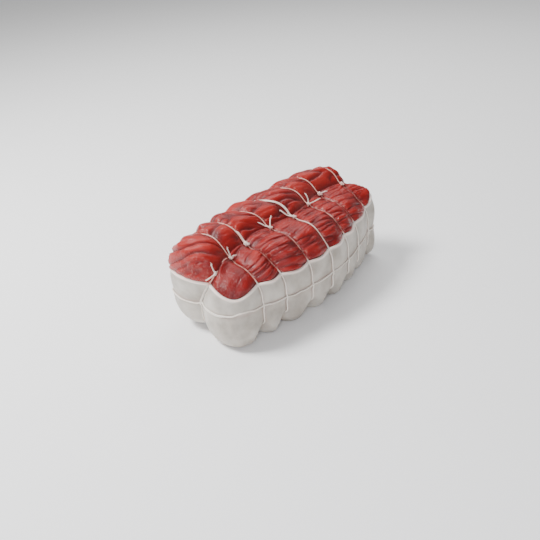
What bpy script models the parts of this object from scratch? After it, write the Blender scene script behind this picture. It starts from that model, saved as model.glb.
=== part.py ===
"""Rolled beef roasting joint: a meat body in a wrap of fat, tied with butcher's string.

Millimetres in the constants, metres in the finished solids.
X runs along the joint (near end at -X), Y across it, Z up, resting on Z = 0.
"""
import math

import bmesh
import bpy
import numpy as np
from mathutils import Matrix, Vector
from mathutils.bvhtree import BVHTree

MM = 0.001
NAME = "roast_beef_joint"

# cross strings, where each one crosses the line Y = 0
TIES = (-87.6, -61.1, -29.1, 0.2, 30.3, 55.7, 92.1)
TIE_PULL = (1.4, 1.9, 1.2, 1.0, 1.0, 1.0, 1.0)
RIGHT_SKEW = 0.051
LEFT_SKEW = (0.017, 0.126, 0.308, 0.349, 0.324, 0.265, 0.37)

# body: widths from the string line to either side, heights above the table
RIGHT_MID, RIGHT_NEAR_DROP, RIGHT_FAR_DROP = 56.1, 22.5, 37.7
LEFT_MID, LEFT_NEAR_DROP, LEFT_FAR_DROP = 62.2, 6.1, 17.8
REACH = 125.0
AXIS_Z = 37.0
LEFT_CREST, LEFT_SLOPE, LEFT_NEAR_FALL = 107.2, 0.036, 2.8
RIGHT_CREST, RIGHT_NEAR_FALL, RIGHT_FAR_FALL = 92.0, 12.8, 1.6
UNDER_Z = -4.0
TOP_POWER = 2.6
RIGHT_UNDER_POWER, LEFT_UNDER_POWER = 4.7, 2.1
CORE_Z, CORE_INSET = 46.0, 12.0
NEAR_CAP, NEAR_TILT = 35.6, -0.06
FAR_CAP, FAR_TILT, FAR_CORNER = 15.0, -0.075, 7.0
CAP_POWER = 3.5
CORNER_EASE = 1.1

# edge of the fat: its height along the joint, a lift by the first strings, a small wave
EDGE_Z, EDGE_RISE = 61.4, 0.04
EDGE_LIFT, EDGE_LIFT_X, EDGE_LIFT_REACH = 3.0, -76.0, 26.0
EDGE_WAVE = 0.8
EDGE_END_LIFT, CORNER_SAG, CORNER_LIFT = 8.8, 6.8, 6.0

# furrow of the lengthwise string: its wander on top, its place below
SWAY_START, SWAY_SLOPE = -1.8, 0.066
SWAY_WAVE, SWAY_PHASE, SWAY_LENGTH = 5.2, 32.5, 110.0
NEAR_STEP, NEAR_STEP_X, NEAR_STEP_REACH = 9.0, -89.0, 19.0
BELOW_START, BELOW_SLOPE = 4.0, -0.06

# creases pulled in by the string
CROSS_TOP, CROSS_SIDE, CROSS_UNDER = 6.5, 1.2, 10.5
CROSS_REACH, LONG_REACH, GIRTH_REACH = 15.5, 30.0, 24.0
LONG_TOP, LONG_END, LONG_UNDER = 14.6, 11.6, 13.5
CREASE_POWER = 1.85
TOP_REACH, TOP_FURROW_POWER = 46.0, 1.25
GIRTH_Z, GIRTH_RISE, GIRTH_RISE_X, GIRTH_RISE_REACH = 34.9, 4.6, -100.0, 32.0
GIRTH_SIDE, GIRTH_END = 1.2, 2.6

# ridges of the meat and thickness of the fat
RIDGE_HEIGHT, RIDGE_LENGTH, RIDGE_SWAY, RIDGE_SWAY_LENGTH = 1.1, 15.0, 2.2, 107.0
FAT_THICKNESS = 3.0
GAP = 0.45

# colour and roughness
MEAT_LOOK = ((0.42, 0.05, 0.035), 0.35)
FAT_LOOK = ((0.72, 0.68, 0.60), 0.45)
TWINE_LOOK = ((0.75, 0.68, 0.58), 0.85)

# mesh of the body
COLUMNS = 40
TIE_STEPS = 4
CAP_RINGS = 8
RINGS = 2 * CAP_RINGS + TIE_STEPS * (len(TIES) - 1)

# string, in millimetres: radius, clearance from the joint, rise where one string passes over another
TWINE_RADIUS = 0.75
TWINE_GAP = 0.4
TWINE_HOP, HOP_SPAN = 2.1, (3.0, 9.0)
TIE_POINTS, LONG_POINTS, GIRTH_POINTS = 48, 84, 76
TIE_RAYS, SIDE_RAYS, END_RAYS = 160, 60, 40
KNOT_SIZE = (1.8, 2.1, 1.5)
KNOT_RISE = 0.9
# tails of the knots on the cross strings: direction (x, y, z) and length
TAILS = (
    (((-0.2, 0.35, 0.9), 11.0), ((0.75, -0.6, 0.35), 10.0)),
    (),
    (((-0.55, 0.75, 0.3), 13.0), ((0.5, 0.35, 0.75), 13.0)),
    (((-0.5, 0.8, 0.35), 15.0),),
    (((0.0, 0.3, 0.95), 14.0), ((0.7, -0.55, 0.45), 13.0)),
    (((0.6, -0.6, 0.5), 7.0),),
    (),
)
END_KNOT = (-118.0, -10.0, 84.0)
END_TAILS = (((0.15, 0.5, 0.85), 10.0), ((-0.75, 0.3, -0.25), 11.0))


def smooth_step(low, high, value):
    """Ease from 0 to 1 between two values."""
    t = min(max((value - low) / (high - low), 0.0), 1.0)
    return t * t * (3.0 - 2.0 * t)


def half_width(x, side):
    """Distance from the string line to the left (+1) or right (-1) side."""
    if side > 0:
        mid, near_drop, far_drop = LEFT_MID, LEFT_NEAR_DROP, LEFT_FAR_DROP
    else:
        mid, near_drop, far_drop = RIGHT_MID, RIGHT_NEAR_DROP, RIGHT_FAR_DROP
    if x < 0.0:
        return mid - near_drop * (x / REACH) ** 2
    return mid - far_drop * (x / REACH) ** 1.7


def tie_phase(x):
    """Position counted in strings: 0 at the first, 1 at the second and so on."""
    for k in range(len(TIES) - 1):
        if x < TIES[k + 1] or k == len(TIES) - 2:
            return k + (x - TIES[k]) / (TIES[k + 1] - TIES[k])


def edge_height(x):
    """Height of the upper edge of the fat."""
    lift = EDGE_LIFT * math.exp(-((x - EDGE_LIFT_X) / EDGE_LIFT_REACH) ** 2)
    return EDGE_Z + EDGE_RISE * x + lift + EDGE_WAVE * math.cos(2.0 * math.pi * tie_phase(x))


def girth_height(x, y):
    """Height of the girth string: it climbs over the near right-hand corner."""
    climb = math.exp(-((x - GIRTH_RISE_X) / GIRTH_RISE_REACH) ** 2)
    return GIRTH_Z + GIRTH_RISE * climb * smooth_step(8.0, -22.0, y)


def furrow_sway(x):
    """Sideways wander of the lengthwise string on top of the joint."""
    wave = SWAY_WAVE * math.sin((x - SWAY_PHASE) * 2.0 * math.pi / SWAY_LENGTH)
    step = NEAR_STEP * math.exp(-((x - NEAR_STEP_X) / NEAR_STEP_REACH) ** 2)
    return SWAY_START + SWAY_SLOPE * x + wave + step


def furrow_line(x, z):
    """Y of the lengthwise string: it wanders on top and runs straight below."""
    below = BELOW_START + BELOW_SLOPE * x
    return below + (furrow_sway(x) - below) * smooth_step(30.0, 85.0, z)


def crest_height(x, y):
    """Height of the plain crest: the right-hand row is lower, and both fall away to the near end."""
    right = RIGHT_CREST - RIGHT_NEAR_FALL * smooth_step(-45.0, -105.0, x)
    right -= RIGHT_FAR_FALL * smooth_step(-10.0, REACH, x)
    left = LEFT_CREST + LEFT_SLOPE * x - LEFT_NEAR_FALL * smooth_step(-50.0, -110.0, x)
    return right + (left - right) * smooth_step(-20.0, 20.0, y)


def squareness(y, up):
    """Power of the superellipse in one quarter of the cross-section."""
    if up:
        return TOP_POWER
    return LEFT_UNDER_POWER if y > 0.0 else RIGHT_UNDER_POWER


def section(x, angle):
    """Point (y, z) of the plain cross-section at x, angle 0 = left, 90 = top."""
    v, w = math.cos(angle), math.sin(angle)
    power = squareness(v, w > 0.0)
    norm = (abs(v) ** power + abs(w) ** power) ** (1.0 / power)
    y = v / norm * half_width(x, v)
    height = crest_height(x, y) - AXIS_Z if w > 0.0 else AXIS_Z - UNDER_Z
    return y, AXIS_Z + w / norm * height


def section_share(x, y, z):
    """How far out a point lies in the cross-section: 0 at its axis, 1 on its outline."""
    power = squareness(y, z > AXIS_Z)
    height = crest_height(x, y) - AXIS_Z if z > AXIS_Z else AXIS_Z - UNDER_Z
    total = abs(y / half_width(x, y)) ** power + abs((z - AXIS_Z) / height) ** power
    return min(total ** (1.0 / power), 1.0)


def edge_angle(x, side):
    """Section angle at which the fat ends on one side."""
    k = (edge_height(x) - AXIS_Z) / (crest_height(x, 40.0 * side) - AXIS_Z)
    return math.atan2(k, (1.0 - k ** TOP_POWER) ** (1.0 / TOP_POWER))


def column_angle(x, turn):
    """Section angle of a mesh column: turn 0 is the left edge of the fat, 0.5 the right."""
    left, right = edge_angle(x, 1.0), math.pi - edge_angle(x, -1.0)
    if turn <= 0.5:
        return left + (right - left) * 2.0 * turn
    return right + (2.0 * math.pi + left - right) * (2.0 * turn - 1.0)


def cap_spread(part):
    """Size of an end ring, 0 at the tip and 1 at the outer string, evenly spaced in arc."""
    arcs, rhos = [0.0], [0.0]
    before = (0.0, NEAR_CAP)
    for n in range(1, 201):
        turn = 0.5 * math.pi * n / 200.0
        rho = math.sin(turn) ** (2.0 / CAP_POWER)
        place = (rho * 45.0, NEAR_CAP * math.cos(turn) ** (2.0 / CAP_POWER))
        arcs.append(arcs[-1] + math.hypot(place[0] - before[0], place[1] - before[1]))
        rhos.append(rho)
        before = place
    return float(np.interp(part * arcs[-1], arcs, rhos))


def skew(station, y):
    """Slant of the cross strings: steeper on the left than on the right."""
    left = float(np.interp(station, TIES, LEFT_SKEW))
    return RIGHT_SKEW + (left - RIGHT_SKEW) * smooth_step(0.0, 25.0, y)


def body_point(ring, column):
    """Plain body surface at a mesh ring and column, with its station along the joint."""
    turn = column / COLUMNS
    spread = min(ring, RINGS - ring) / CAP_RINGS
    if spread >= 1.0:
        tie, step = divmod(ring - CAP_RINGS, TIE_STEPS)
        station = TIES[-1]
        if step > 0 or tie < len(TIES) - 1:
            station = TIES[tie] + (TIES[tie + 1] - TIES[tie]) * step / TIE_STEPS
        y, z = section(station, column_angle(station, turn))
        x = station
    else:
        near = ring < CAP_RINGS
        root = TIES[0] if near else TIES[-1]
        y, z = section(root, column_angle(root, turn))
        rho = cap_spread(spread)
        tip = root + (-NEAR_CAP if near else FAR_CAP)
        pole_z = edge_height(tip) + EDGE_END_LIFT
        pole_y = furrow_line(tip, pole_z)
        y, z = pole_y + rho * (y - pole_y), pole_z + rho * (z - pole_z)
        by_edge = max(-math.cos(2.0 * math.pi * turn), 0.0) ** 3
        swing = math.sin(math.pi * rho ** 3)
        z += by_edge * (-CORNER_SAG * swing ** 0.55 if near else CORNER_LIFT * swing)
        power = CAP_POWER
        if near:
            power -= CORNER_EASE * smooth_step(5.0, -30.0, y) * smooth_step(30.0, 60.0, z)
        bulge = (1.0 - section_share(root, y, z) ** power) ** (1.0 / power)
        depth = -(NEAR_CAP + NEAR_TILT * y)
        if not near:
            depth = FAR_CAP + FAR_TILT * y + FAR_CORNER * smooth_step(0.0, -35.0, y)
        x = station = root + depth * bulge
    sway = furrow_sway(x) * smooth_step(60.0, 95.0, z) * max(1.0 - (y / 50.0) ** 2, 0.0)
    return Vector((x - skew(station, y) * y, y + sway, z)), station


def outward(point):
    """Direction away from the core of the joint."""
    core = Vector((min(max(point.x, TIES[0] + CORE_INSET), TIES[-1] - CORE_INSET), 0.0, CORE_Z))
    return (point - core).normalized()


def crease(station, point):
    """How far the strings pull the surface in at a point."""
    x, y, z = point
    top = smooth_step(50.0, 80.0, z)
    under = 1.0 - smooth_step(4.0, 22.0, z)
    nearest = min(range(len(TIES)), key=lambda k: abs(station - TIES[k]))
    away = abs(station - TIES[nearest]) / CROSS_REACH
    cross = CROSS_SIDE + (CROSS_TOP - CROSS_SIDE) * top + (CROSS_UNDER - CROSS_SIDE) * under
    cross *= 1.0 + (TIE_PULL[nearest] - 1.0) * smooth_step(40.0, -10.0, y) * (1.0 - under)
    cross *= max(1.0 - away, 0.0) ** CREASE_POWER
    end = smooth_step(0.55, 0.95, max((TIES[0] - station) / NEAR_CAP, (station - TIES[-1]) / FAR_CAP, 0.0))
    away = abs(y - furrow_line(x, z))
    long = LONG_TOP * top * (1.0 - end) * max(1.0 - away / TOP_REACH, 0.0) ** TOP_FURROW_POWER
    lower = LONG_UNDER * under * (1.0 - end) + LONG_END * end
    long += lower * max(1.0 - away / LONG_REACH, 0.0) ** CREASE_POWER
    away = abs(z - girth_height(x, y)) / GIRTH_REACH
    girth = (GIRTH_SIDE + (GIRTH_END - GIRTH_SIDE) * end) * max(1.0 - away, 0.0) ** CREASE_POWER
    return math.sqrt(cross * cross + long * long + girth * girth)


def ridges(station, point):
    """Lengthwise ridges of the meat between the strings."""
    x, y, z = point
    cell = math.floor(tie_phase(station))
    sway = RIDGE_SWAY * math.sin(2.0 * math.pi * x / RIDGE_SWAY_LENGTH + cell * 1.7)
    wave = math.sin((y * 0.9 + z * 0.5 + sway) * 2.0 * math.pi / RIDGE_LENGTH + cell * 2.1)
    return RIDGE_HEIGHT * wave * smooth_step(edge_height(x) + 2.0, edge_height(x) + 12.0, z)


def make_collection(name):
    """Add a collection to the scene."""
    collection = bpy.data.collections.new(name)
    bpy.context.scene.collection.children.link(collection)
    return collection


def make_material(name, look):
    """Plain Principled material from a colour and a roughness."""
    colour, roughness = look
    material = bpy.data.materials.new(name)
    material.use_nodes = True
    shader = material.node_tree.nodes["Principled BSDF"]
    shader.inputs["Base Color"].default_value = (*colour, 1.0)
    shader.inputs["Roughness"].default_value = roughness
    return material


def make_object(name, data, look, collection):
    """Object from a mesh or curve, with a material of its own, in a collection."""
    thing = bpy.data.objects.new(name, data)
    data.materials.clear()
    data.materials.append(make_material(name, look))
    if isinstance(data, bpy.types.Mesh):
        data.shade_smooth()
    collection.objects.link(thing)
    return thing


def body_mesh():
    """Closed outer surface: a sphere with its poles at the two ends, drawn out to the body."""
    bm = bmesh.new()
    bmesh.ops.create_uvsphere(bm, u_segments=COLUMNS, v_segments=RINGS, radius=1.0)
    tags = bm.verts.layers.int.new("column")
    rows = bm.verts.layers.int.new("ring")
    stations = {}
    for vert in bm.verts:
        ring = round(math.acos(max(min(-vert.co.z, 1.0), -1.0)) / math.pi * RINGS)
        column = round(math.atan2(vert.co.y, vert.co.x) / (2.0 * math.pi) * COLUMNS) % COLUMNS
        if ring in (0, RINGS):
            column = 0
        vert[tags], vert[rows] = column, ring
        vert.co, stations[vert] = body_point(ring, column)
    for vert in bm.verts:
        push = ridges(stations[vert], vert.co) - crease(stations[vert], vert.co)
        place = vert.co + outward(vert.co) * push
        place.z = max(place.z, 0.0)
        vert.co = place * MM
    bmesh.ops.triangulate(bm, faces=bm.faces, quad_method="SHORT_EDGE")
    bm.normal_update()
    return bm


def split_body(bm):
    """Meat and fat from the one outer surface.

    The fat is the part below its edge, thickened inward; the meat is the whole surface,
    drawn in where the fat covers it, so the two never touch.
    """
    rows = bm.verts.layers.int["ring"]
    tags = bm.verts.layers.int["column"]

    def covered(vert):
        return vert[tags] == 0 or vert[tags] >= COLUMNS // 2 or vert[rows] in (0, RINGS)

    fat = bm.copy()
    fat_rows, fat_tags = fat.verts.layers.int["ring"], fat.verts.layers.int["column"]
    bare = [f for f in fat.faces if any(
        0 < v[fat_tags] < COLUMNS // 2 and 0 < v[fat_rows] < RINGS for v in f.verts)]
    bmesh.ops.delete(fat, geom=bare, context="FACES")
    fat.normal_update()
    normals = {(v[fat_rows], v[fat_tags]): v.normal.copy() for v in fat.verts}
    for vert in bm.verts:
        if covered(vert):
            vert.co -= normals[(vert[rows], vert[tags])] * (FAT_THICKNESS + GAP) * MM
    bm.normal_update()
    return bm, fat


def baked(thing):
    """Mesh of an object with its modifiers applied, or of a curve with its caps welded on."""
    bpy.context.view_layer.update()
    graph = bpy.context.evaluated_depsgraph_get()
    mesh = bpy.data.meshes.new_from_object(thing.evaluated_get(graph))
    if thing.type == "CURVE":
        bm = bmesh.new()
        bm.from_mesh(mesh)
        bmesh.ops.remove_doubles(bm, verts=bm.verts, dist=0.00001)
        bm.to_mesh(mesh)
        bm.free()
    return mesh


def thicken(thing):
    """Solidify a fat sheet inward and apply it."""
    solid = thing.modifiers.new("thickness", "SOLIDIFY")
    solid.thickness = FAT_THICKNESS * MM
    solid.offset = -1.0
    solid.use_even_offset = False
    solid.use_rim = True
    mesh = baked(thing)
    thing.modifiers.clear()
    thing.data = mesh


def cast(origin, direction):
    """Point of the joint's skin met by a ray, lifted clear by the string's own radius."""
    direction = direction.normalized()
    hit, normal, _, _ = skin.ray_cast(origin * MM, direction)
    slope = max(normal.dot(direction), 0.45)
    return hit / MM + direction * (TWINE_RADIUS + TWINE_GAP) / slope


def race_track(middle, upright):
    """Rays out of a straight core lying along the joint, once round it.

    Upright rays run over, down the ends and under; flat rays run round the sides.
    """
    first, last = TIES[0] + CORE_INSET, TIES[-1] - CORE_INSET
    rays = []
    for side in (1.0, -1.0):
        ends = (first, last) if side > 0.0 else (last, first)
        for k in range(SIDE_RAYS):
            x = ends[0] + (ends[1] - ends[0]) * k / SIDE_RAYS
            rays.append((x, 0.0, side))
        for k in range(END_RAYS):
            turn = math.pi * k / END_RAYS
            rays.append((ends[1], math.sin(turn) * side, math.cos(turn) * side))
    for x, along, across in rays:
        if upright:
            yield Vector((x, 0.0, middle)), Vector((along, 0.0, across))
        else:
            yield Vector((x, 0.0, middle)), Vector((along, across, 0.0))


def evenly(points, count):
    """The same closed loop drawn with evenly spaced points."""
    lengths = [0.0]
    for a, b in zip(points, points[1:] + points[:1]):
        lengths.append(lengths[-1] + (b - a).length)
    loop = points + points[:1]
    even, k = [], 0
    for n in range(count):
        want = lengths[-1] * n / count
        while lengths[k + 1] < want:
            k += 1
        part = (want - lengths[k]) / (lengths[k + 1] - lengths[k])
        even.append(loop[k].lerp(loop[k + 1], part))
    return even


def nudge(points, move_at, rounds):
    """Move every stretch of the loop by what move_at gives for it, a few times over."""
    count = len(points)
    for _ in range(rounds):
        push = [Vector((0.0, 0.0, 0.0)) for _ in points]
        for k in range(count):
            for part in (0.0, 0.25, 0.5, 0.75):
                move = move_at(points[k].lerp(points[(k + 1) % count], part))
                for n in {k, (k + 1) % count} if part > 0.0 else {k}:
                    if move.length > push[n].length:
                        push[n] = move
        points = [a + b for a, b in zip(points, push)]
    return points


def off_skin(place):
    """Height of a place over the joint's skin, and the direction away from it."""
    near, normal, _, _ = skin.find_nearest(place * MM)
    away = place - near / MM
    height = away.length if away.dot(normal) > 0.0 else -away.length
    return height, normal, away.normalized()


def clear_of_joint(place):
    """Move that brings a place out to where the string lies on the joint."""
    height, normal, _ = off_skin(place)
    return normal * max(TWINE_RADIUS + TWINE_GAP - height, 0.0)


def pull_tight(points):
    """Ease the loop between its neighbours without letting it into the joint."""
    for _ in range(2):
        count = len(points)
        eased = [0.5 * points[k] + 0.25 * (points[k - 1] + points[(k + 1) % count])
                 for k in range(count)]
        points = nudge(eased, clear_of_joint, 12)
    return points


def hop_over(points, others):
    """Raise the loop wherever it passes over a string already laid, clear of that string."""
    laid = np.array([tuple(place) for place in others])

    def distance(place):
        return float(np.sqrt(((laid - np.array(place)) ** 2).sum(axis=1)).min())

    def clear_of_string(place):
        short = 2.0 * TWINE_RADIUS + GAP - distance(place)
        return off_skin(place)[2] * (short + 0.05 if short > 0.0 else 0.0)

    raised = [place + off_skin(place)[2] * TWINE_HOP * (1.0 - smooth_step(*HOP_SPAN, distance(place)))
              for place in points]
    return nudge(raised, clear_of_string, 16)


def fine(points):
    """The loop with eight points to a step, to measure against."""
    loop = points + points[:1]
    return [a.lerp(b, part / 8.0) for a, b in zip(loop, loop[1:]) for part in range(8)]


def girth_loop():
    """String round the sides and ends."""
    path = []
    for origin, direction in race_track(GIRTH_Z, False):
        guess = cast(origin, direction)
        for _ in range(2):
            origin.z = girth_height(guess.x, guess.y)
            guess = cast(origin, direction)
        path.append(guess)
    return pull_tight(evenly(path, GIRTH_POINTS))


def long_loop(girth):
    """String over the top, down the ends and underneath, in the furrow."""
    path = []
    for origin, direction in race_track(CORE_Z, True):
        guess = cast(origin, direction)
        for _ in range(2):
            origin.y = furrow_line(guess.x, guess.z)
            guess = cast(origin, direction)
        path.append(guess)
    path = pull_tight(evenly(path, LONG_POINTS))
    return hop_over(path, fine(girth))


def tie_loop(k, others):
    """One cross string, in its own slightly skewed plane."""
    path = []
    origin = Vector((TIES[k], 0.0, CORE_Z))
    for n in range(TIE_RAYS):
        turn = 2.0 * math.pi * n / TIE_RAYS
        across, up = math.cos(turn), math.sin(turn)
        guess = cast(origin, Vector((0.0, across, up)))
        slant = skew(TIES[k], guess.y) * across
        path.append(cast(origin, Vector((-slant, across, up))))
    path = pull_tight(evenly(path, TIE_POINTS))
    return hop_over(path, others)


def tube(name, points, closed):
    """Solid string along a run of points."""
    curve = bpy.data.curves.new(name, "CURVE")
    curve.dimensions = "3D"
    curve.bevel_depth = TWINE_RADIUS * MM
    curve.bevel_resolution = 1
    curve.use_fill_caps = True
    run = curve.splines.new("POLY")
    run.points.add(len(points) - 1)
    for point, place in zip(run.points, points):
        point.co = (*(place * MM), 1.0)
    run.use_cyclic_u = closed
    return make_object(name, curve, TWINE_LOOK, scraps)


def knot(name, place):
    """Lump of a knot, its long side across the lengthwise string."""
    mesh = bpy.data.meshes.new(name)
    lump = bmesh.new()
    size = Matrix.Diagonal((*[half * MM for half in KNOT_SIZE], 1.0))
    bmesh.ops.create_uvsphere(lump, u_segments=8, v_segments=6, radius=1.0,
                              matrix=Matrix.Translation(place * MM) @ size)
    lump.to_mesh(mesh)
    lump.free()
    return make_object(name, mesh, TWINE_LOOK, scraps)


def tail_points(place, direction, length):
    """Loose end leaving a knot, bending over a little at its tip."""
    direction = Vector(direction).normalized()
    points = [place + direction * length * part for part in (0.0, 0.35, 0.7, 1.0)]
    points[3].z -= 0.12 * length
    return points[:1] + [point + clear_of_joint(point) for point in points[1:]]


def tied(name, points, place, tails):
    """A string loop with its knot and tails joined into one solid."""
    loop = tube(name + "_loop", points, True)
    joined = make_object(name, baked(loop), TWINE_LOOK, roast)
    if place is None:
        return
    parts = [knot(name + "_knot", place)]
    parts += [tube(name + "_tail", tail_points(place, *tail), False) for tail in tails]
    for part in parts:
        union = joined.modifiers.new("union", "BOOLEAN")
        union.operation = "UNION"
        union.solver = "EXACT"
        union.object = make_object(part.name + "_solid", baked(part), TWINE_LOOK, scraps)
    mesh = baked(joined)
    joined.modifiers.clear()
    joined.data = mesh


def centre(things):
    """Shift the finished solids so that the origin is under the middle of their box."""
    corners = [vert.co for thing in things for vert in thing.data.vertices]
    shift = [-0.5 * (min(c[n] for c in corners) + max(c[n] for c in corners)) for n in (0, 1)]
    for thing in things:
        thing.data.transform(Matrix.Translation((*shift, 0.0)))


for old in list(bpy.data.objects):
    bpy.data.objects.remove(old)
roast = make_collection(NAME)
scraps = make_collection("cutters")

# the joint itself; the strings are laid on its whole outer skin
shell = body_mesh()
skin = BVHTree.FromBMesh(shell)
meat, fat = split_body(shell)
for name, part, look in (("beef", meat, MEAT_LOOK), ("fat_bard", fat, FAT_LOOK)):
    mesh = bpy.data.meshes.new(name)
    part.to_mesh(mesh)
    part.free()
    make_object(name, mesh, look, roast)
thicken(roast.objects["fat_bard"])

# the strings, in the order they are tied: round, lengthwise, then across
girth = girth_loop()
tied("string_girth", girth, None, ())
lengthwise = long_loop(girth)
end_knot = min(lengthwise, key=lambda place: (place - Vector(END_KNOT)).length)
tied("string_lengthwise", lengthwise, end_knot + Vector((-0.7, 0.0, 0.7)) * KNOT_RISE, END_TAILS)
laid = fine(girth) + fine(lengthwise)
for number, tails in enumerate(TAILS):
    loop = tie_loop(number, laid)
    over = [place for place in fine(loop) if place.z > EDGE_Z]
    top = min(over, key=lambda place: min((place - other).length for other in fine(lengthwise)))
    tied(f"string_cross_{number + 1}", loop, top + Vector((0.0, 0.0, KNOT_RISE)), tails)

for scrap in list(scraps.objects):
    bpy.data.objects.remove(scrap)
centre(roast.objects)
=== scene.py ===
import itertools
import math

import bpy
import numpy as np
from mathutils import Matrix, Vector
from mathutils.bvhtree import BVHTree
from mathutils.kdtree import KDTree


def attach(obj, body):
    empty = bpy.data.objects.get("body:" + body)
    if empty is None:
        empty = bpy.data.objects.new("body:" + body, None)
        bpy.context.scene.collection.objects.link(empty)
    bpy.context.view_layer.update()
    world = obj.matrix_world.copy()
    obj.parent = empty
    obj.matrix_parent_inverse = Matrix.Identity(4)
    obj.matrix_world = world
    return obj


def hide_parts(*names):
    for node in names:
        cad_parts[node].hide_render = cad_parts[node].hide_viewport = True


# Raw beef roasting joint: lean meat in a sheet of barding fat, tied with cotton butcher's
# string. Lengths here are in millimetres until a mesh is made, where mm turns them to metres.
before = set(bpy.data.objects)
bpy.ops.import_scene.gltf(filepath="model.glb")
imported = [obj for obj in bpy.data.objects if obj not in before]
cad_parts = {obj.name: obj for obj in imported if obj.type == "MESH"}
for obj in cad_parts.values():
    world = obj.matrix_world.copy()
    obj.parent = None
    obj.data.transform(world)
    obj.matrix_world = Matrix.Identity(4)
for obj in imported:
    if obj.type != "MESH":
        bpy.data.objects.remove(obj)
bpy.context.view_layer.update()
mm = 0.001

# the form of the whole joint: the same values as the solids
form = {
    "shift": (4.770, -2.806, 0.0),    # puts the middle of the solids' box on x = y = 0
    "ties": (-87.6, -61.1, -29.1, 0.2, 30.3, 55.7, 92.1),    # cross strings along the middle line
    "pull": (1.4, 1.9, 1.2, 1.0, 1.0, 1.0, 1.0),    # how tight each of them is on the right
    "rightSkew": 0.051,               # run of a cross string to the far end for each mm to the right
    "leftSkew": (0.017, 0.126, 0.308, 0.349, 0.324, 0.265, 0.37),    # to the near end on the left
    "half": ((56.1, 62.2), (22.5, 6.1), (37.7, 17.8)),    # (right, left): middle, near, far drop
    "halfFall": (2.0, 1.7),           # how late the near and the far drop set in
    "reach": 125.0,                   # how far from the middle both are full
    "axis": 37.0,                     # height at which the joint is widest
    # top on the right, its near and far fall, top on the left, its slope, its near fall
    "crest": (92.0, 12.8, 1.6, 107.2, -0.036, 2.8),
    "under": -4.0,                    # underside, before the floor flattens it
    "powers": (2.6, 4.7, 2.1),        # squareness on top, under right, under left
    "caps": (35.6, -0.06, 15.0, -0.075),    # near end depth and tilt, far end depth and tilt
    "farCorner": (7.0, 6.0),          # how much deeper the far right corner is, lift of its edge
    "capPower": 3.5,                  # squareness of both ends
    "cornerEase": 1.1,                # how much rounder the near right corner is at the rim
    "core": (46.0, 12.0),             # height and inset of the line the skin is pulled to
    "edge": (61.4, 0.04, 3.0, -76.0, 26.0, 0.8),    # fat's edge: height, rise, lift, where, reach, wave
    "edgeEnds": (8.8, 6.8),           # lift at the ends, sag at the near right corner
    "sway": (-1.8, 0.066, 5.2, 32.5, 110.0),    # furrow on top: start, slope, wave, phase, length
    "swayNear": (9.0, -89.0, 19.0),   # its step to the left by the first string
    "below": (4.0, -0.06),            # furrow underneath: start, slope
    "turnOver": (30.0, 85.0),         # heights between which the one line turns into the other
    "cross": (6.5, 1.2, 10.5, 15.5),  # crease depth on top, at the side, under, and reach
    "long": (14.6, 11.6, 13.5, 30.0),    # furrow depth on top, at the ends, under, and reach
    "topFurrow": (46.0, 1.25),        # reach and power of the furrow on top
    "creasePower": 1.85,              # how narrow the bottom of a crease is
    "topFrom": (50.0, 80.0),          # heights over which the depths on top set in
    "underFrom": (4.0, 22.0),         # heights over which the depths underneath end
    "endFrom": (0.55, 0.95),          # shares of an end's depth over which the end's depths set in
    # height, climb with its place and reach, crease depth at the side and end, reach of the crease
    "girth": (34.9, 4.6, -100.0, 32.0, 1.2, 2.6, 24.0),
}
ties = np.array(form["ties"])
capRings, tieSteps = 8, 4             # rings of each end, rings from string to string
rings = 2 * capRings + tieSteps * (len(ties) - 1)
tieRings = capRings + tieSteps * np.arange(len(ties))


def smoothStep(low, high, value):
    t = np.clip((value - low) / (high - low), 0.0, 1.0)
    return t * t * (3.0 - 2.0 * t)


def noise(places, seed):
    # smooth noise from about -1 to 1, one value for each place in an array of (x, y, z)
    cell = np.floor(places).astype(np.int64)
    part = places - cell
    ease = part ** 3 * (part * (part * 6.0 - 15.0) + 10.0)
    total = np.zeros(len(places))
    for corner in itertools.product((0, 1), repeat=3):
        spot = cell + np.array(corner)
        mix = spot[:, 0] * 374761393 + spot[:, 1] * 668265263 + spot[:, 2] * 2147483647 + seed * 1274126177
        mix = ((mix ^ (mix >> 13)) * 1103515245) & 0xFFFFFFFF
        mix = ((mix ^ (mix >> 15)) * 2246822519) & 0xFFFFFFFF
        slope = np.stack([(mix >> bits & 1023) / 511.5 - 1.0 for bits in (0, 10, 20)], axis=1)
        weight = np.prod(np.where(corner, ease, 1.0 - ease), axis=1)
        total += (slope * (part - np.array(corner))).sum(axis=1) * weight
    return total * 1.6    # brings the strongest values to about -1 and 1


def halfWidth(x, y):
    middle, near, far = (np.where(y > 0.0, left, right) for right, left in form["half"])
    nearer, farther = np.maximum(-x, 0.0) / form["reach"], np.maximum(x, 0.0) / form["reach"]
    nearFall, farFall = form["halfFall"]
    return middle - near * nearer ** nearFall - far * farther ** farFall


def tiePhase(x):
    # 0 at the first cross string, 1 at the second and so on
    k = np.clip(np.searchsorted(ties, x, side="right") - 1, 0, len(ties) - 2)
    return k + (x - ties[k]) / (ties[k + 1] - ties[k])


def edgeHeight(x):
    height, rise, lift, liftX, liftReach, wave = form["edge"]
    height = height + rise * x + lift * np.exp(-((x - liftX) / liftReach) ** 2)
    return height + wave * np.cos(2.0 * math.pi * tiePhase(x))


def girthHeight(x, y):
    height, climb, climbX, climbReach = form["girth"][:4]
    return height + climb * np.exp(-((x - climbX) / climbReach) ** 2) * smoothStep(8.0, -22.0, y)


def furrowSway(x):
    start, slope, wave, phase, length = form["sway"]
    step, stepX, stepReach = form["swayNear"]
    wander = wave * np.sin((x - phase) * 2.0 * math.pi / length)
    return start + slope * x + wander + step * np.exp(-((x - stepX) / stepReach) ** 2)


def furrowLine(x, z):
    below = form["below"][0] + form["below"][1] * x
    return below + (furrowSway(x) - below) * smoothStep(*form["turnOver"], z)


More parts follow.
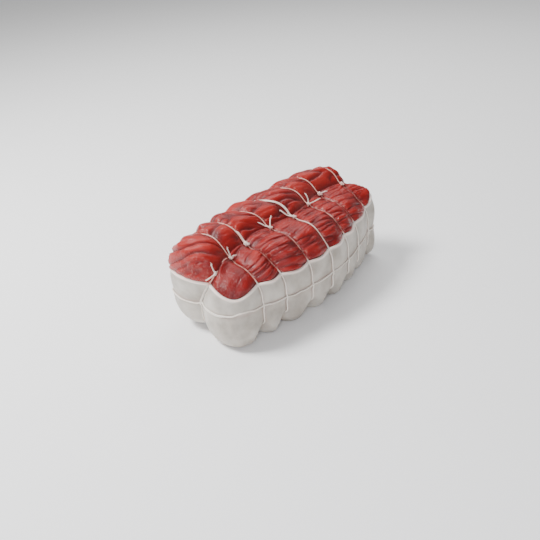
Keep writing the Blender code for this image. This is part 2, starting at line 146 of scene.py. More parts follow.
def crestHeight(x, y):
    right, nearFall, farFall, left, slope, leftNearFall = form["crest"]
    right = right - nearFall * smoothStep(-45.0, -105.0, x) - farFall * smoothStep(-10.0, form["reach"], x)
    left = left - slope * x - leftNearFall * smoothStep(-50.0, -110.0, x)
    return right + (left - right) * smoothStep(-20.0, 20.0, y)


def squareness(y, up):
    top, right, left = form["powers"]
    return np.where(up, top, np.where(y > 0.0, left, right))


def section(x, angle):
    # place on the plain cross-section at x, by its angle from the left
    v, w = np.cos(angle), np.sin(angle)
    power = squareness(v, w > 0.0)
    norm = (np.abs(v) ** power + np.abs(w) ** power) ** (1.0 / power)
    y = v / norm * halfWidth(x, v)
    height = np.where(w > 0.0, crestHeight(x, y) - form["axis"], form["axis"] - form["under"])
    return y, form["axis"] + w / norm * height


def sectionShare(x, y, z):
    # 1 on that section, 0 on its axis
    up = z > form["axis"]
    power = squareness(y, up)
    height = np.where(up, crestHeight(x, y) - form["axis"], form["axis"] - form["under"])
    total = np.abs(y / halfWidth(x, y)) ** power + np.abs((z - form["axis"]) / height) ** power
    return np.minimum(total ** (1.0 / power), 1.0)


def edgeAngle(x, side):
    top = form["powers"][0]
    k = (edgeHeight(x) - form["axis"]) / (crestHeight(x, 40.0 * side) - form["axis"])
    return np.arctan2(k, (1.0 - k ** top) ** (1.0 / top))


def columnAngle(x, turn):
    # turn 0 is the left edge of the fat, 0.5 the right one, and the way back runs underneath
    left, right = edgeAngle(x, 1.0), math.pi - edgeAngle(x, -1.0)
    over = left + (right - left) * 2.0 * turn
    return np.where(turn <= 0.5, over, right + (2.0 * math.pi + left - right) * (2.0 * turn - 1.0))


def capSpread(part):
    # size of a ring on an end, so that the rings are evenly far apart along the surface
    halfEnd = 45.0                    # mean distance from the middle of an end to its rim
    turns = np.linspace(0.0, 0.5 * math.pi, 201)
    sizes = np.sin(turns) ** (2.0 / form["capPower"])
    ahead = form["caps"][0] * np.abs(np.cos(turns)) ** (2.0 / form["capPower"])
    arcs = np.concatenate(([0.0], np.cumsum(np.hypot(np.diff(sizes * halfEnd), np.diff(ahead)))))
    return np.interp(part * arcs[-1], arcs, sizes)


def skewAt(station, y):
    left = np.interp(station, ties, form["leftSkew"])
    return form["rightSkew"] + (left - form["rightSkew"]) * smoothStep(0.0, 25.0, y)


def plainPlace(ring, turn):
    # the body before any string is pulled: places, and their stations along the joint
    nearCap, nearTilt, farCap, farTilt = form["caps"]
    spread = np.minimum(np.minimum(ring, rings - ring) / capRings, 1.0)
    root = np.interp(ring, tieRings, ties)
    near = ring < rings / 2
    y, z = section(root, columnAngle(root, turn))
    rho = capSpread(spread)
    tip = np.where(near, ties[0] - nearCap, ties[-1] + farCap)
    poleZ = edgeHeight(tip) + form["edgeEnds"][0]
    poleY = furrowLine(tip, poleZ)
    y, z = poleY + rho * (y - poleY), poleZ + rho * (z - poleZ)
    byEdge = np.maximum(-np.cos(2.0 * math.pi * turn), 0.0) ** 3
    corner, cornerLift = form["farCorner"]
    swing = np.maximum(np.sin(math.pi * rho ** 3), 0.0)
    z = z + byEdge * np.where(near, -form["edgeEnds"][1] * swing ** 0.55, cornerLift * swing)
    rightRim = smoothStep(5.0, -30.0, y) * smoothStep(30.0, 60.0, z)
    power = form["capPower"] - form["cornerEase"] * near * rightRim
    bulge = (1.0 - sectionShare(root, y, z) ** power) ** (1.0 / power)
    farDepth = farCap + farTilt * y + corner * smoothStep(0.0, -35.0, y)
    depth = np.where(near, -(nearCap + nearTilt * y), farDepth)
    station = root + np.where(spread < 1.0, depth * bulge, 0.0)
    sway = furrowSway(station) * smoothStep(60.0, 95.0, z) * np.maximum(1.0 - (y / 50.0) ** 2, 0.0)
    return np.stack([station - skewAt(station, y) * y, y + sway, z], axis=-1), station


def outward(places):
    # directions away from the core line
    height, inset = form["core"]
    away = places - np.stack([np.clip(places[:, 0], ties[0] + inset, ties[-1] - inset),
                              np.zeros(len(places)), np.full(len(places), height)], axis=-1)
    return away / np.linalg.norm(away, axis=1)[:, None]


def nearestTie(station):
    return np.abs(station[:, None] - ties[None, :]).argmin(axis=1)


def stringGaps(station, places):
    # distance of each place from the line of the nearest cross string, the furrow and the girth
    x, y, z = places.T
    crossGap = np.abs(station - ties[nearestTie(station)])
    return crossGap, np.abs(y - furrowLine(x, z)), np.abs(z - girthHeight(x, y))


def creaseDepth(station, places):
    # how far the strings pull the skin in
    y, z = places.T[1:]
    crossGap, longGap, girthGap = stringGaps(station, places)
    top = smoothStep(*form["topFrom"], z)
    under = 1.0 - smoothStep(*form["underFrom"], z)
    crossTop, crossSide, crossUnder, crossReach = form["cross"]
    longTop, longEnd, longUnder, longReach = form["long"]
    girthSide, girthEnd, girthReach = form["girth"][4:]
    power = form["creasePower"]
    cross = crossSide + (crossTop - crossSide) * top + (crossUnder - crossSide) * under
    tighter = np.array(form["pull"])[nearestTie(station)] - 1.0
    cross = cross * (1.0 + tighter * smoothStep(40.0, -10.0, y) * (1.0 - under))
    cross = cross * np.maximum(1.0 - crossGap / crossReach, 0.0) ** power
    beyond = np.maximum((ties[0] - station) / form["caps"][0], (station - ties[-1]) / form["caps"][2])
    end = smoothStep(*form["endFrom"], beyond)
    topReach, topPower = form["topFurrow"]
    furrow = longTop * top * (1.0 - end) * np.maximum(1.0 - longGap / topReach, 0.0) ** topPower
    lower = longUnder * under * (1.0 - end) + longEnd * end
    furrow = furrow + lower * np.maximum(1.0 - longGap / longReach, 0.0) ** power
    girth = (girthSide + (girthEnd - girthSide) * end) * np.maximum(1.0 - girthGap / girthReach, 0.0) ** power
    return np.sqrt(cross ** 2 + furrow ** 2 + girth ** 2)


def skinPlaces(ring, turn, relief):
    # finished surface at arrays of rings and turns, with a relief of its own
    places, station = plainPlace(ring, turn)
    raised = relief(places, station) if relief else 0.0
    push = raised - creaseDepth(station, places)
    skin = places + outward(places) * np.broadcast_to(push, len(places))[:, None]
    skin[:, 2] = np.maximum(skin[:, 2], 0.0)
    return skin, places, station, raised


def gridOf(ringValues, turnValues, relief):
    # that surface as a grid: a row for each ring, a column for each turn
    ring, turn = (grid.ravel() for grid in np.meshgrid(ringValues, turnValues, indexing="ij"))
    shape = (len(ringValues), len(turnValues))
    skin, plain, station, raised = skinPlaces(ring, turn, relief)
    return {"skin": skin.reshape(*shape, 3), "plain": plain.reshape(*shape, 3),
            "station": station.reshape(shape), "turn": turn.reshape(shape),
            "relief": np.broadcast_to(raised, len(ring)).reshape(shape)}


def gridNormals(skin, around):
    # outward normals of a grid of places; around says that the columns meet again
    padded = np.concatenate([skin[:, -1:], skin, skin[:, :1]], axis=1) if around else skin
    acrossways = np.gradient(padded, axis=1)
    acrossways = acrossways[:, 1:-1] if around else acrossways
    normals = np.cross(np.gradient(skin, axis=0), acrossways)
    for pole, beside in ((0, 1), (-1, -2)):
        normals[pole] = normals[beside].sum(axis=0)
    normals /= np.maximum(np.linalg.norm(normals, axis=2), 1e-9)[:, :, None]
    facing = (normals.reshape(-1, 3) * outward(skin.reshape(-1, 3))).sum(axis=1).mean()
    return normals * (1.0 if facing > 0.0 else -1.0)


def makeMesh(name, places, faces, values):
    # mesh piece from places in millimetres, with named values at its points for the material
    mesh = bpy.data.meshes.new(name)
    mesh.from_pydata(((places + np.array(form["shift"])) * mm).tolist(), [], faces)
    for label, numbers in values.items():
        mesh.attributes.new(label, "FLOAT", "POINT").data.foreach_set("value", numbers.astype(np.float32))
    mesh.shade_smooth()
    piece = bpy.data.objects.new(name, mesh)
    bpy.context.scene.collection.objects.link(piece)
    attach(piece, "root")
    return piece


def wrappedMesh(name, grid, values):
    # closed mesh from a grid whose columns meet again and whose first and last rows are points
    rows, columns = grid.shape[:2]

    def kept(array):
        flat = array.reshape(rows, columns, -1)
        return np.concatenate([flat[:1, 0], flat[1:-1].reshape(-1, flat.shape[2]), flat[-1:, 0]])

    index = 1 + np.arange((rows - 2) * columns).reshape(rows - 2, columns)
    beside = np.roll(index, -1, axis=1)
    quads = np.stack([index[:-1], beside[:-1], beside[1:], index[1:]], axis=-1).reshape(-1, 4)
    last = 1 + (rows - 2) * columns
    faces = quads.tolist()
    faces += [(0, b, a) for a, b in zip(index[0].tolist(), beside[0].tolist())]
    faces += [(last, a, b) for a, b in zip(index[-1].tolist(), beside[-1].tolist())]
    pointValues = {label: kept(numbers)[:, 0] for label, numbers in values.items()}
    return makeMesh(name, kept(grid), faces, pointValues)


def facingOut(piece):
    # turn every face of a closed piece outward if its volume came out negative
    mesh = piece.data
    mesh.calc_loop_triangles()
    corners = np.zeros(len(mesh.vertices) * 3)
    mesh.vertices.foreach_get("co", corners)
    triangles = np.zeros(len(mesh.loop_triangles) * 3, dtype=np.int64)
    mesh.loop_triangles.foreach_get("vertices", triangles)
    a, b, c = corners.reshape(-1, 3)[triangles.reshape(-1, 3)].transpose(1, 0, 2)
    if (a * np.cross(b, c)).sum() < 0.0:
        mesh.flip_normals()


# the fat's edge, and how far any place is from it
rimRing = np.linspace(0.0, rings, 1201)
rimPlaces = np.concatenate([
    skinPlaces(rimRing, np.full_like(rimRing, turn), None)[0] for turn in (0.0, 0.5)])
rimTree = KDTree(len(rimPlaces))
for number, place in enumerate(rimPlaces):
    rimTree.insert(place, number)
rimTree.balance()


def rimDistance(places):
    distances = [rimTree.find(place)[2] for place in places.reshape(-1, 3)]
    return np.array(distances).reshape(places.shape[:-1])


# colours and nodes
def fromHex(code):
    # sRGB hex to linear RGBA
    parts = [int(code[k:k + 2], 16) / 255.0 for k in (1, 3, 5)]
    return (*[p / 12.92 if p <= 0.04045 else ((p + 0.055) / 1.055) ** 2.4 for p in parts], 1.0)


def addNode(material, kind, sockets, **settings):
    # one node with its settings, and with its sockets set to values or linked
    tree = material.node_tree
    node = tree.nodes.new("ShaderNode" + kind)
    for name, value in settings.items():
        setattr(node, name, value)
    for name, value in sockets.items():
        if isinstance(value, bpy.types.NodeSocket):
            tree.links.new(value, node.inputs[name])
        else:
            node.inputs[name].default_value = value
    return node


def newMaterial(name):
    material = bpy.data.materials.new(name)
    material.use_nodes = True
    material.node_tree.nodes.clear()
    return material


def perMetre(*millimetres):
    # pattern scale from the real size of one repeat along x, y and z
    return tuple(1.0 / (size * mm) for size in millimetres)


# Raw lean beef on the outside of a rolled joint, trimmed with a knife: long fibre bundles under a
# moist film, so it is deep red, a little translucent, and glints where the film stands up.
meatPiece = {
    "fineness": (10, 190, 40),        # rows to a ring, columns on top, columns under the fat
    "bundle": (46.0, 11.0, 2.3),      # fibre bundles: length, width, height
    "strand": (24.0, 4.6, 0.6),       # strands in a bundle: length, width, height
    "valley": (0.36, 0.62, 0.75),     # width of the valleys, roundness of bundles and strands
    "level": 0.66,                    # share of their height that stands for the plain surface
    "leftMore": (0.62, 0.78),         # height of the bundles on the right, and more on the left
    "calm": (0.5, 0.8, 0.7),          # bundles less: near right lobe, front; strands less: both
    "lump": (12.0, 0.9),              # unevenness of the bundles: size, height
    "wander": (0.1, 0.05),            # slant of the bundles: from string to string, everywhere
    "bend": (34.0, 0.25, 0.15),       # waviness of the bundles: size, amount, more on the left
    "shoulder": (88.0, 0.9),          # below this height the way down counts as way across
    # directions across the bundles on the left, which lie over one another: first lobe, rest
    "slants": ((0.25, 0.81, 1.2), (0.31, 0.88, 0.3)),
    "slantBack": 0.7,                 # how far they run back towards the outside there
    "darker": 0.15,                   # how much deeper the right row is, its first lobe twice that
    "gather": (7.0, 2.8, 0.55, 4.5),  # puckers beside a string: length, width, height, reach
    "bite": (1.0, 1.5),               # how far and how wide a string cuts in
    "tuck": (0.2, 2.0),               # gap below the fat at its edge, and more further in
    "tuckFrom": ((-1.4, 1.6), (-1.0, -6.0)),    # where each sets in, in mm from the fat's edge
    "swell": (0.5, 4.5, 3.0),         # swelling over the fat's edge: height, place, reach
    "tissueAndGlintsByString": (0.4, 1.8, 1.2),        # pale specks beside a string, partly tissue and partly painted glints: strength, place, reach
    "frontGlints": 0.2,               # painted glints as pale specks on the front of the two near lobes
    "heights": (1.9, 2.9),            # relief from -1.9 mm up, 2.9 mm in all; sets painted shade in the hollows and painted light on the ridges
    "edgeShade": 0.25,                # painted shade: how much darker the meat's colour is right at the fat's edge
    # ridge colour: painted light on the tops of the bundles; crevice colour: painted shade in the hollows
    # between them
    "flesh": "#860A06", "paintedRidgeLight": "#AC1F13", "paintedCreviceShade": "#5A0508", "film": "#AC4535",
    # pale specks: painted glints of the wet film, beside the strings partly pale tissue as well
    "paleTissueAndGlint": "#E0AC9C",
}


def meatRelief(places, station):
    x, y, z = places.T
    pillow = np.clip(np.floor(tiePhase(station)), -1, len(ties) - 1)
    pillow = np.where(station < ties[0], -1, np.where(station > ties[-1], len(ties), pillow))
    crossGap, longGap = stringGaps(station, places)[:2]
    offFurrow = y - furrowLine(x, z)
    side = np.where(offFurrow > 0.0, 1.0, -1.0)
    leftSide = np.where(offFurrow > 0.0, 1.0, 0.0)
    leftRow = smoothStep(-2.0, 8.0, offFurrow)
    own = pillow * 7.31 + side * 3.17    # a pattern of its own for each pillow

    # way across the bundles, so that they run lengthwise and over the ends
    onEnds = smoothStep(ties[0] + 4.0, ties[0] - 14.0, station)
    onEnds = onEnds + smoothStep(ties[-1] - 4.0, ties[-1] + 8.0, station)
    outer = smoothStep(25.0, 50.0, np.abs(y))
    shoulder, steep = meatPiece["shoulder"]
    across = y + side * np.maximum(shoulder - z, 0.0) * steep * (1.0 - onEnds) * outer
    slant, slantAll = meatPiece["wander"]
    across = across + (slant * np.sin(pillow * 2.4 + side * 1.1) + slantAll) * x
    onLobe, onRest = (places @ np.array(way) for way in meatPiece["slants"])
    across = across + (np.where(station < ties[0], onLobe, onRest) - across) * leftSide
    lengthwise = x - meatPiece["slantBack"] * y * leftSide
    size, bend, bendMore = meatPiece["bend"]
    bend = noise(places / size, 3) * (bend + bendMore * leftRow)

    length, width, height = meatPiece["bundle"]
    valley, bundleRound, strandRound = meatPiece["valley"]
    folds = noise(np.stack([lengthwise / length, across / width + bend, own], axis=-1), 11)
    folds = np.minimum(np.abs(folds) / valley, 1.0) ** bundleRound
    length, width, fineHeight = meatPiece["strand"]
    fine = noise(np.stack([lengthwise / length, across / width + bend * 1.6, own * 1.7], axis=-1), 23)
    fine = np.minimum(np.abs(fine) / valley, 1.0) ** strandRound
    lobe = smoothStep(ties[0] + 2.0, ties[0] - 8.0, station) * smoothStep(6.0, -6.0, y)
    front = smoothStep(ties[0] - 26.0, ties[0] - 37.0, station)
    lobeCalm, frontCalm, fineCalm = meatPiece["calm"]
    rightHeight, leftMore = meatPiece["leftMore"]
    height = height * (rightHeight + leftMore * leftRow)
    height = height * (1.0 - lobeCalm * lobe) * (1.0 - frontCalm * front)
    fineHeight = fineHeight * (1.0 - fineCalm * np.maximum(front, lobe))
    relief = height * (folds - meatPiece["level"]) + fineHeight * (fine - meatPiece["level"])
    size, height = meatPiece["lump"]
    relief = relief + height * noise(places / size + own[:, None], 41)

    # beside a string the bundles end and the surface is gathered
    length, width, height, reach = meatPiece["gather"]
    pucker = noise(np.stack([x / length, across / width, own], axis=-1), 37)
    pucker = height * pucker * np.exp(-(crossGap / reach) ** 2) * smoothStep(0.2, 1.4, crossGap)
    relief = relief * smoothStep(0.3, 3.2, crossGap) * smoothStep(0.5, 4.5, longGap) + pucker
    depth, width = meatPiece["bite"]
    return relief - depth * np.exp(-(np.minimum(crossGap, longGap) / width) ** 2)


def makeMeatMaterial():
    material = newMaterial("rawBeef")
    where = addNode(material, "TexCoord", {}).outputs["Object"]
    relief = addNode(material, "Attribute", {}, attribute_name="relief").outputs["Fac"]
    tied = addNode(material, "Attribute", {}, attribute_name="tied").outputs["Fac"]
    # grain: single fibres are 0.1 mm, drawn at 0.9 mm so that they show
    grainAt = addNode(material, "Mapping", {
        "Vector": where, "Scale": perMetre(16.0, 0.9, 0.9)}).outputs["Vector"]
    grain = addNode(material, "TexNoise", {
        "Vector": grainAt, "Scale": 1.0, "Detail": 3.0, "Roughness": 0.6}).outputs["Fac"]
    # streaks of film are about 30 mm long and 4 mm wide
    streakAt = addNode(material, "Mapping", {
        "Vector": where, "Scale": perMetre(30.0, 4.0, 4.0)}).outputs["Vector"]
    streak = addNode(material, "TexNoise", {
        "Vector": streakAt, "Scale": 1.0, "Detail": 2.0, "Distortion": 0.6}).outputs["Fac"]
    # wetter and drier patches, pores, and beads of juice of 1 to 3 mm
    patch, pores, beads = (
        addNode(material, "TexNoise", {
            "Vector": where, "Scale": perMetre(size)[0], "Detail": detail}).outputs["Fac"]
        for size, detail in ((19.0, 2.0), (1.3, 2.0), (2.6, 1.0)))

    # painted shade in the hollows and painted light on the ridges, both from the relief
    deep = addNode(material, "MapRange", {
        "Value": relief, "From Min": 0.05, "From Max": 0.62}).outputs["Result"]
    high = addNode(material, "MapRange", {
        "Value": relief, "From Min": 0.55, "From Max": 1.0}).outputs["Result"]
    lift = addNode(material, "Math", {0: high, 1: patch}, operation="MULTIPLY").outputs[0]
    pale = addNode(material, "MapRange", {
        "Value": streak, "From Min": 0.58, "From Max": 0.8, "To Max": 0.3}).outputs["Result"]
    pale = addNode(material, "Math", {0: pale, 1: high}, operation="MULTIPLY").outputs[0]
    # pale specks: painted glints of the wet film, beside the strings partly pale tissue
    tissueAndGlintSpecks = addNode(material, "MapRange", {
        "Value": beads, "From Min": 0.52, "From Max": 0.7}).outputs["Result"]
    tissueAndGlintSpecks = addNode(material, "Math", {0: tissueAndGlintSpecks, 1: patch}, operation="MULTIPLY").outputs[0]
    tissueAndGlintSpecks = addNode(material, "Math", {0: tied, 1: tissueAndGlintSpecks}, operation="MULTIPLY").outputs[0]
    colour = fromHex(meatPiece["paintedCreviceShade"])
    for name, share in (("flesh", deep), ("paintedRidgeLight", lift), ("film", pale), ("paleTissueAndGlint", tissueAndGlintSpecks)):
        colour = addNode(material, "Mix", {6: colour, 7: fromHex(meatPiece[name]), 0: share},
                         data_type="RGBA").outputs[2]

    wet = addNode(material, "MapRange", {
        "Value": patch, "From Min": 0.35, "From Max": 0.65,
        "To Min": 0.36, "To Max": 0.6}).outputs["Result"]
    height = addNode(material, "Math", {0: grain, 1: pores}, operation="ADD").outputs[0]
    bump = addNode(material, "Bump", {
        "Height": height, "Strength": 0.5, "Distance": 0.5 * mm}).outputs["Normal"]
    filmBump = addNode(material, "Bump", {
        "Height": beads, "Strength": 1.0, "Distance": 1.1 * mm, "Normal": bump}).outputs["Normal"]
    shader = addNode(material, "BsdfPrincipled", {
        "Base Color": colour, "Roughness": wet, "Normal": bump, "IOR": 1.33,
        "Subsurface Weight": 0.22, "Subsurface Radius": (1.0, 0.22, 0.12), "Subsurface Scale": 2.5 * mm,
        "Coat Weight": 0.42, "Coat Roughness": 0.06, "Coat IOR": 1.4, "Coat Normal": filmBump})
    addNode(material, "OutputMaterial", {"Surface": shader.outputs[0]})
    return material


# Barding fat: a sheet of back fat, cut and rolled round the meat. It is smooth and waxy, greyish
# white with a thin pink lip where its cut edge shows, painted lighter there as a highlight, and has
# soft dents where it is pulled in, pinker and darker beside the strings: partly stain, partly painted shade.
fatPiece = {
    "fineness": (8, 130, 26),         # rows to a ring, columns outside, columns inside
    "thick": 2.4,
    "rolled": (0.55, 1.5, 1.1),       # how far the cut edge stands up: height, place, reach
    "hollow": (0.35, 5.5, 2.4),       # shallow hollow below it: depth, place, reach
    "lipAndHighlightWidth": (1.4, 3.2),           # where the pink of the edge and its painted highlight begin to fade and end
    "dent": (24.0, 0.7),              # soft unevenness: size, height
    "pucker": (9.0, 3.2, 0.35, 5.0),  # folds beside a string: length, width, height, reach
    "bite": (0.7, 1.5),               # how far and how wide a string cuts in
    "stained": (0.5, 2.2),            # pink stain and painted shade in the crease beside a string: strength, reach
    # shares of the way round at which the columns of both edges lie, close together
    "lipColumns": (0.0, 0.0006, 0.0016, 0.0030, 0.0050, 0.0085, 0.0130, 0.0190, 0.026),
    # lip colour: the cut edge's own pink, painted lighter as a highlight along the rim; stain colour: partly
    # stain, partly painted shade in the string creases
    "fat": "#C6BFB5", "shade": "#A59C91", "lipAndRimHighlight": "#F7E4DA", "stain": "#C0968A",
}


def fatRelief(places, station):
    x, y, z = places.T
    crossGap, longGap, girthGap = stringGaps(station, places)
    size, height = fatPiece["dent"]
    relief = height * noise(places / size, 51)
    length, width, height, reach = fatPiece["pucker"]
    folds = noise(np.stack([x / length, y / width, z / width], axis=-1), 57)
    folds = height * folds * np.exp(-(crossGap / reach) ** 2) * smoothStep(0.0, 1.5, crossGap)
    # the lengthwise string lies on the fat only at the ends and underneath
    onFat = (station < ties[0] - 6.0) | (station > ties[-1] + 4.0) | (smoothStep(30.0, 8.0, z) > 0.5)
    longGap = np.where(onFat, longGap, 99.0)
    depth, width = fatPiece["bite"]
    gap = np.minimum(np.minimum(crossGap, longGap), girthGap)
    return relief + folds - depth * np.exp(-(gap / width) ** 2)


def makeFatMaterial():
    material = newMaterial("bardingFat")
    where = addNode(material, "TexCoord", {}).outputs["Object"]
    # lip: the pink of the cut edge, painted lighter as a highlight along the rim
    lipAndRimHighlight = addNode(material, "Attribute", {}, attribute_name="lipAndRimHighlight").outputs["Fac"]
    stainAndCreaseShade = addNode(material, "Attribute", {}, attribute_name="stainAndCreaseShade").outputs["Fac"]
    # clouds of about 17 mm, and a mottle of 2.6 mm like the grain of the fat
    cloud = addNode(material, "TexNoise", {
        "Vector": where, "Scale": perMetre(17.0)[0], "Detail": 3.0}).outputs["Fac"]
    mottle = addNode(material, "TexNoise", {
        "Vector": where, "Scale": perMetre(2.6)[0], "Detail": 3.0, "Roughness": 0.6}).outputs["Fac"]
    clouded = addNode(material, "MapRange", {
        "Value": cloud, "From Min": 0.38, "From Max": 0.68}).outputs["Result"]
    # pink stain beside the strings, partly painted shade in the creases they press in
    stainAndCreaseShadeShare = addNode(material, "Math", {0: stainAndCreaseShade, 1: mottle}, operation="MULTIPLY").outputs[0]
    colour = fromHex(fatPiece["fat"])
    for name, share in (("shade", clouded), ("stain", stainAndCreaseShadeShare), ("lipAndRimHighlight", lipAndRimHighlight)):
        colour = addNode(material, "Mix", {6: colour, 7: fromHex(fatPiece[name]), 0: share},
                         data_type="RGBA").outputs[2]
    gloss = addNode(material, "MapRange", {
        "Value": mottle, "From Min": 0.3, "From Max": 0.7,
        "To Min": 0.38, "To Max": 0.55}).outputs["Result"]
    height = addNode(material, "Math", {0: mottle, 1: cloud}, operation="ADD").outputs[0]
    bump = addNode(material, "Bump", {
        "Height": height, "Strength": 0.25, "Distance": 0.4 * mm}).outputs["Normal"]
    shader = addNode(material, "BsdfPrincipled", {
        "Base Color": colour, "Roughness": gloss, "Normal": bump, "IOR": 1.45,
        "Subsurface Weight": 0.35, "Subsurface Radius": (1.0, 0.7, 0.55), "Subsurface Scale": 2.0 * mm,
        "Coat Weight": 0.08, "Coat Roughness": 0.3})
    addNode(material, "OutputMaterial", {"Surface": shader.outputs[0]})
    return material


# Cotton butcher's string: three plies twisted together, off white and matt, stained pink where
# it lies on the meat.
twinePiece = {
    "radius": 0.75,
    "tight": 0.66,                    # radius of a cross string, pulled tight
    "thin": 0.8,                      # share of its radius left where it runs over the meat
    "sunk": 0.3,                      # share of its radius that the string presses in
    "buried": (3.4, 0.8, 0.0),        # how far the meat closes over it: in the furrow, right, left
    "step": 0.45,                     # distance of the rings along a string
    "around": (15, 7),                # points to a ring of string, and of a single fibre
    "plies": 3, "pitch": 4.6,         # plies, and the length of one full twist
    "groove": (0.24, 0.7),            # depth of the groove between two plies, and its roundness
    "tipShare": 0.55,                 # share of its radius at a cut end
    "hop": (1.7, 0.9, 4.5),           # rise over a string below in radii, full and first distance
    "clean": "#F3ECE2", "pink": "#E6A292", "blood": "#8A3A32", "dirt": "#DDCDBC",
}


def makeTwineMaterial():
    material = newMaterial("cottonString")
    where = addNode(material, "TexCoord", {}).outputs["Object"]
    stain = addNode(material, "Attribute", {}, attribute_name="stain").outputs["Fac"]
    blotch = addNode(material, "TexNoise", {
        "Vector": where, "Scale": perMetre(7.0)[0], "Detail": 2.0}).outputs["Fac"]
    # cotton fibres are hundredths of a millimetre, drawn at 0.25 mm so that they show
    fibre = addNode(material, "TexNoise", {
        "Vector": where, "Scale": perMetre(0.25)[0], "Detail": 2.0}).outputs["Fac"]
    worn = addNode(material, "MapRange", {
        "Value": blotch, "From Min": 0.4, "From Max": 0.75, "To Max": 0.5}).outputs["Result"]
    soaked = addNode(material, "MapRange", {
        "Value": blotch, "From Min": 0.3, "From Max": 0.6,
        "To Min": 0.6, "To Max": 1.0}).outputs["Result"]
    soaked = addNode(material, "Math", {0: soaked, 1: stain}, operation="MULTIPLY").outputs[0]
    damp = addNode(material, "MapRange", {"Value": soaked, "From Max": 0.5}).outputs["Result"]
    bloody = addNode(material, "MapRange", {
        "Value": soaked, "From Min": 0.5, "From Max": 1.0}).outputs["Result"]
    colour = fromHex(twinePiece["clean"])
    for name, share in (("dirt", worn), ("pink", damp), ("blood", bloody)):
        colour = addNode(material, "Mix", {6: colour, 7: fromHex(twinePiece[name]), 0: share},
                         data_type="RGBA").outputs[2]
    bump = addNode(material, "Bump", {
        "Height": fibre, "Strength": 0.5, "Distance": 0.12 * mm}).outputs["Normal"]
    shader = addNode(material, "BsdfPrincipled", {
        "Base Color": colour, "Roughness": 0.85, "Normal": bump, "Sheen Weight": 0.25,
        "Subsurface Weight": 0.15, "Subsurface Scale": 0.5 * mm, "Subsurface Radius": (1.0, 0.8, 0.7)})
    addNode(material, "OutputMaterial", {"Surface": shader.outputs[0]})
    return material


def makeMeat():
    rows, top, under = meatPiece["fineness"]
    turns = np.concatenate([np.linspace(0.0, 0.5, top, endpoint=False),
                            np.linspace(0.5, 1.0, under, endpoint=False)])
    grid = gridOf(np.linspace(0.0, rings, rings * rows + 1), turns, meatRelief)
    plain, station = grid["plain"].reshape(-1, 3), grid["station"]
    showing = (grid["turn"] > 0.0) & (grid["turn"] < 0.5)
    edge = rimDistance(grid["skin"]) * np.where(showing, 1.0, -1.0)

    # under the fat the meat is tucked away, and just above it swells
    gap, further = meatPiece["tuck"]
    gapFrom, furtherFrom = meatPiece["tuckFrom"]
    tuck = (fatPiece["thick"] + gap) * (1.0 - smoothStep(*gapFrom, edge))
    tuck = tuck + further * smoothStep(*furtherFrom, edge)
    height, place, reach = meatPiece["swell"]
    swell = height * np.exp(-((edge - place) / reach) ** 2)
    places = grid["skin"] - gridNormals(grid["skin"], True) * (tuck - swell)[:, :, None]

    # pale specks: beside a string partly tissue and partly painted glints, on the front of the two near lobes
    # painted glints only
    strength, place, reach = meatPiece["tissueAndGlintsByString"]
    crossGap = stringGaps(station.ravel(), plain)[0]
    tied = np.exp(-((crossGap - place) / reach) ** 2).reshape(edge.shape) * strength
    frontal = smoothStep(ties[0] - 20.0, ties[0] - 31.0, station) * smoothStep(-1.0, 2.0, edge)
    tied = np.maximum(tied, meatPiece["frontGlints"] * frontal)
    offFurrow = plain[:, 1] - furrowLine(plain[:, 0], plain[:, 2])
    right = smoothStep(4.0, -4.0, offFurrow).reshape(edge.shape)
    firstLobe = smoothStep(ties[0] + 2.0, ties[0] - 4.0, station)
    darker = meatPiece["darker"] * right * (1.0 + firstLobe)
    # the relief sets the colour: painted shade in the hollows, painted light on the ridges
    lowest, span = meatPiece["heights"]
    relief = np.clip((grid["relief"] + lowest) / span, 0.0, 1.0)
    # painted shade: the meat's colour is made darker right at the fat's edge
    shade = meatPiece["edgeShade"]
    relief = relief * (1.0 - shade + shade * smoothStep(-0.5, 1.5, edge)) - darker
    piece = wrappedMesh("meat", places, {"relief": relief, "tied": tied})
    piece.data.materials.append(makeMeatMaterial())
    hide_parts("beef")
    return piece


